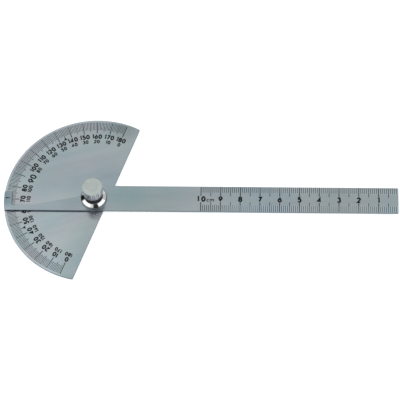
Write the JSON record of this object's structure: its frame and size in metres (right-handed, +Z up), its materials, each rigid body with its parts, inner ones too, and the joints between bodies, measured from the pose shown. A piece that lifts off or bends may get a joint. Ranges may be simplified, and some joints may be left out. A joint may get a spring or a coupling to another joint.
{
  "type": "protractor",
  "caption": "All-metal protractor: a segment-shaped degree plate, a long scaled blade that swings over it with a pointer strip, and a knurled thumb nut that clamps them.",
  "frame": {"origin": "on the pivot axis, at the flat underside of the stud's head", "axes": "+X along the blade to the zero end of its scale, +Z up out of the scale faces along the pivot axis, +Y in the plane of the sheets"},
  "size_m": [0.2004, 0.0911, 0.0154],
  "materials": {
    "sheet_steel": "satin stainless sheet with black-filled engraving",
    "blade_steel": "satin stainless sheet with black-filled engraving",
    "stud_steel": "turned bright steel",
    "nut_plating": "bright nickel plating over turned and knurled metal"
  },
  "bodies": {
    "head": {"head_plate": "sheet_steel", "pivot_stud": "stud_steel"},
    "blade": {"blade": "blade_steel"},
    "washer": {"friction_washer": "stud_steel"},
    "nut": {"thumb_nut": "nut_plating"}
  },
  "joints": [
    {"name": "blade_swing", "type": "hinge", "parent": "head", "child": "blade", "pos_m": [0, 0, 0], "axis": [0, 0, 1], "continuous": true},
    {"name": "nut_turn", "type": "hinge", "parent": "head", "child": "washer", "pos_m": [0, 0, 0], "axis": [0, 0, 1], "range_deg": [0, 2520]},
    {"name": "nut_lift", "type": "slide", "parent": "washer", "child": "nut", "axis": [0, 0, 1], "range_m": [0, 0.0056]}
  ],
  "couplings": [
    {"joint": "nut_lift", "follows": "nut_turn", "m_per_rad": 0.00012732}
  ]
}
